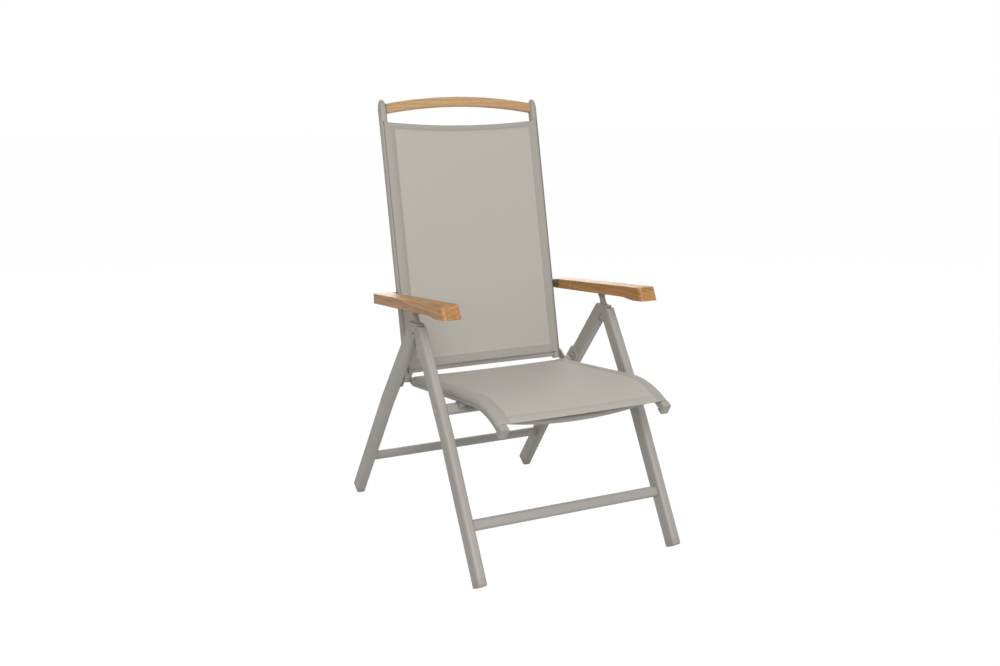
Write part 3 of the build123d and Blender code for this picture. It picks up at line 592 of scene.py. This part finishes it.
def clothGrid(name, across, along, place, hemmed, values, finish, cutAway=None):
    # across and along are lists of flat sizes, place gives the point where a flat spot lies
    mesh = bmesh.new()
    uvs = mesh.loops.layers.uv.new("cloth")
    columns, rows = len(across) - 1, len(along) - 1
    bmesh.ops.create_grid(mesh, x_segments=columns, y_segments=rows, size=0.5, calc_uvs=True)
    flat = {}
    for vertex in mesh.verts:
        column, row = round((vertex.co.x + 0.5) * columns), round((vertex.co.y + 0.5) * rows)
        flat[vertex] = (across[column], along[row])
    for face in mesh.faces:
        for loop in face.loops:
            loop[uvs].uv = flat[loop.vert]
    if cutAway:
        waste = [face for face in mesh.faces if all(cutAway(*flat[vertex]) for vertex in face.verts)]
        bmesh.ops.delete(mesh, geom=waste, context="FACES")
    weights = []
    for vertex in mesh.verts:
        spot = flat[vertex]
        weights.append(hemmed(*spot))
        vertex.co = place(*spot)
    bmesh.ops.recalc_face_normals(mesh, faces=mesh.faces)
    data = bpy.data.meshes.new(name)
    mesh.to_mesh(data)
    mesh.free()
    piece = bpy.data.objects.new(name, data)
    scene.collection.objects.link(piece)
    attribute = data.attributes.new("hem", "FLOAT", "POINT")
    attribute.data.foreach_set("value", weights)
    group = piece.vertex_groups.new(name="hem")
    for index, weight in enumerate(weights):
        group.add([index], weight, "REPLACE")
    solid = piece.modifiers.new("thickness", "SOLIDIFY")
    solid.thickness = values["hemThickness"]
    solid.offset = 0.0
    solid.vertex_group = "hem"
    solid.thickness_vertex_group = values["thickness"] / values["hemThickness"]
    data.shade_smooth()
    data.materials.append(finish)
    return piece


# back sling

backSling = {
    "foot": (0.1230076, 0.3976643),  # y and z where the back rails' axis starts
    "lean": 12.15,
    "start": 0.012,
    "end": 0.6574286,
    "dip": 0.010,  # how far the top edge's middle hangs below its corners
    "sag": 0.010,
    "cuts": 24,
    "inner": 0.2145,
    "groove": 0.2285,
    "face": 0.0129,
    "intoGroove": [(-0.0030, 0.0), (-0.0010, 0.0003), (-0.0001, 0.0015), (0.0, 0.0035), (0.0, 0.0048)],
    "tuck": 0.0045,  # width that is hidden in the groove
    "sideHem": 0.0265,
    "topHem": 0.014,
    "bottomHem": 0.022,
    "sideSeams": (0.002, 0.008),
    "endSeam": 0.002,
    "sideStep": 0.006,
    "firstStops": (0.0, 0.002, 0.006),
    "hemStep": 0.006,
    "stopInHem": 0.004,
    "stopBesideHem": 0.008,
    "step": 0.012,
    "thickness": 0.0009,
    "hemThickness": 0.0019,
}


def makeBackSling(values):
    up = Vector((0, sin(radians(values["lean"])), cos(radians(values["lean"]))))
    rear = Vector((0, up.z, -up.y))
    foot = Vector((0, *values["foot"]))
    inner, groove, face, cuts = values["inner"], values["groove"], values["face"], values["cuts"]
    points = [(inner * n / cuts, -face + values["sag"] * (1 - (n / cuts) ** 2)) for n in range(cuts + 1)]
    points += [(groove + out, -face + deep) for out, deep in values["intoGroove"]]
    lengths = lineLengths(points)
    half = lengths[-1]
    hemAt = half - values["sideHem"] - values["tuck"]
    across = mirrored(halfStops(lengths, hemAt, values["sideStep"]))
    start, end = values["start"], values["end"]
    length = end - start
    bottomLine, topLine = start + values["bottomHem"], end - values["topHem"]
    along = lengthStops(values, start, end, values["bottomHem"], values["topHem"])

    def place(a, s):
        x, deep = sectionAt(points, lengths, min(abs(a), half))
        reach = end - values["dip"] * (1 - (x / groove) ** 2)
        s = start + (s - start) * (reach - start) / length
        point = foot + up * s + rear * deep
        return Vector((x if a >= 0 else -x, point.y, point.z))

    def hemmed(a, s):
        side = abs(a) >= hemAt - closeTo
        return 1.0 if side or s >= topLine - closeTo or s <= bottomLine + closeTo else 0.0

    rows = seamRows(values, hemAt, bottomLine - values["endSeam"], topLine + values["endSeam"])
    finish = makeCloth("backCloth", cloth, rows)
    piece = clothGrid("backSling", across, along, place, hemmed, values, finish)
    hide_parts("back_sling")
    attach(piece, "back_frame")
    print("back sling made,", round(2 * half, 3), "by", round(length, 3))


# seat sling

seatSling = {
    "start": (0.0840349, 0.3813332),  # y and z where the seat rails' axis starts
    "rise": 4.9,
    "straight": 0.338,
    "radius": 0.2355,
    "turn": 35.7,
    "rearInset": 0.002,
    "frontInset": 0.001,
    "sag": 0.002,
    "cuts": 24,
    "inner": 0.211,
    "outer": 0.230,
    "half": 0.013,
    "corner": 0.008,
    "cornerCuts": 6,
    "lift": 0.0009,
    "intoGroove": [(0.0, 0.0022), (-0.0002, 0.0012), (-0.0008, 0.0004), (-0.002, 0.0), (-0.0032, 0.0)],
    "notchFrom": 29,  # section point beyond which the rear hem is cut away, beside the pivots
    "sideHem": 0.042,
    "endHem": 0.0205,
    "endHemShare": 0.35,  # how much of the side hems' thickness the end hems have
    "sideSeams": (0.002, 0.009),
    "endSeam": 0.002,
    "sideStep": 0.006,
    "firstStops": (0.0,),
    "hemStep": 0.005,
    "stopInHem": 0.004,
    "stopBesideHem": 0.006,
    "step": 0.009,
    "thickness": 0.0009,
    "hemThickness": 0.0019,
}


def makeSeatSling(values):
    rise = radians(values["rise"])
    ahead, up = Vector((0, -cos(rise), sin(rise))), Vector((0, sin(rise), cos(rise)))
    start = Vector((0, *values["start"]))
    bend = start + ahead * values["straight"] - up * values["radius"]
    total = values["straight"] + values["radius"] * radians(values["turn"])

    def pathAt(s):
        if s <= values["straight"]:
            return start + ahead * s, up
        angle = (s - values["straight"]) / values["radius"]
        out = up * cos(angle) + ahead * sin(angle)
        return bend + out * values["radius"], out

    inner, outer, cuts = values["inner"], values["outer"] + values["lift"], values["cuts"]
    high, corner = values["half"] + values["lift"], values["corner"] + values["lift"]
    points = [(inner * n / cuts, high - values["sag"] * (1 - (n / cuts) ** 2)) for n in range(cuts + 1)]
    for n in range(values["cornerCuts"] + 1):
        angle = radians(90 - 90 / values["cornerCuts"] * n)
        points.append((outer - corner + corner * cos(angle), high - corner + corner * sin(angle)))
    points += [(outer + out, deep) for out, deep in values["intoGroove"]]
    lengths = lineLengths(points)
    half = lengths[-1]
    hemAt = half - values["sideHem"]
    stops = halfStops(lengths, hemAt, values["sideStep"])
    across = mirrored(sorted({s for s in stops if s < lengths[cuts]} | set(lengths[cuts:])))
    rear, front = values["rearInset"], total - values["frontInset"]
    rearLine, frontLine = rear + values["endHem"], front - values["endHem"]
    along = lengthStops(values, rear, front, values["endHem"], values["endHem"])

    def place(a, s):
        x, deep = sectionAt(points, lengths, min(abs(a), half))
        point, out = pathAt(s)
        point = point + out * deep
        return Vector((x if a >= 0 else -x, point.y, point.z))

    def hemmed(a, s):
        if abs(a) >= hemAt - closeTo:
            return 1.0
        return values["endHemShare"] if s >= frontLine - closeTo or s <= rearLine + closeTo else 0.0

    def cutAway(a, s):
        return abs(a) >= lengths[values["notchFrom"]] - closeTo and s <= rearLine + closeTo

    rows = seamRows(values, hemAt, rearLine - values["endSeam"], frontLine + values["endSeam"])
    # the seat takes the darker copy of the cloth, which is painted shade
    finish = makeCloth("shadedSeatCloth", shadedSeatCloth, rows)
    piece = clothGrid("seatSling", across, along, place, hemmed, values, finish, cutAway)
    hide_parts("seat_sling")
    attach(piece, "seat_frame")
    print("seat sling made,", round(2 * half, 3), "by", round(front - rear, 3))


makeBackSling(backSling)
makeSeatSling(seatSling)


# studio

studio = {
    "world": 0.54,
    "floorSize": 60.0,
    "floorColour": (0.5, 0.5, 0.5, 1),
    "floorRoughness": 0.9,
    "floorSpecular": 0.1,
    "glowShare": 0.88,
    "glow": 1.09,
    "lamps": {
        "keyLamp": {"place": (-1.2, -3.3, 2.05), "aim": (0, 0, 0.5), "size": 2.0, "power": 93},
        "topLamp": {"place": (0.4, 0.2, 4.0), "aim": (0, 0, 0.4), "size": 2.4, "power": 7},
        "rearLamp": {"place": (1.4, 3.6, 2.3), "aim": (0, 0, 0.5), "size": 2.4, "power": 70},
    },
}


def seenDirectly(tree):  # 1 for what the camera sees itself, in a mirror or through glass
    path = tree.nodes.new("ShaderNodeLightPath")
    seen = sums(tree, "MAXIMUM", path.outputs["Is Camera Ray"], path.outputs["Is Glossy Ray"])
    return sums(tree, "MAXIMUM", seen, path.outputs["Is Transmission Ray"])


def makeWorld(values):
    world = bpy.data.worlds.new("studio")
    world.use_nodes = True
    scene.world = world
    tree = world.node_tree
    background = tree.nodes["Background"]
    background.inputs["Color"].default_value = (1, 1, 1, 1)
    strength = remap(tree, seenDirectly(tree), (0.0, 1.0), (values["world"], 1.0))
    tree.links.new(strength, background.inputs["Strength"])


def makeFloor(values):
    mesh = bmesh.new()
    bmesh.ops.create_grid(mesh, x_segments=1, y_segments=1, size=values["floorSize"] / 2)
    data = bpy.data.meshes.new("floor")
    mesh.to_mesh(data)
    mesh.free()
    floor = bpy.data.objects.new("floor", data)
    scene.collection.objects.link(floor)
    material, tree, shader = newMaterial(
        "palePaper", values["floorRoughness"], specular=values["floorSpecular"])
    shader.inputs["Base Color"].default_value = values["floorColour"]
    glow = addNode(tree, "ShaderNodeEmission", {"Color": (1, 1, 1, 1), "Strength": values["glow"]})
    mix = addNode(tree, "ShaderNodeMixShader", {
        0: shareOf(tree, seenDirectly(tree), values["glowShare"]), 1: shader.outputs[0], 2: glow.outputs[0]})
    tree.links.new(mix.outputs[0], tree.nodes["Material Output"].inputs["Surface"])
    data.materials.append(material)


def placeLamp(name, values):
    light = bpy.data.lights.new(name, "AREA")
    light.energy, light.size = values["power"], values["size"]
    lamp = bpy.data.objects.new(name, light)
    lamp.location = values["place"]
    lamp.rotation_mode = "QUATERNION"
    aim = Vector(values["aim"]) - Vector(values["place"])
    lamp.rotation_quaternion = aim.to_track_quat("-Z", "Y")
    scene.collection.objects.link(lamp)


makeWorld(studio)
makeFloor(studio)
for name, values in studio["lamps"].items():
    placeLamp(name, values)
print("studio set")

bpy.context.view_layer.update()
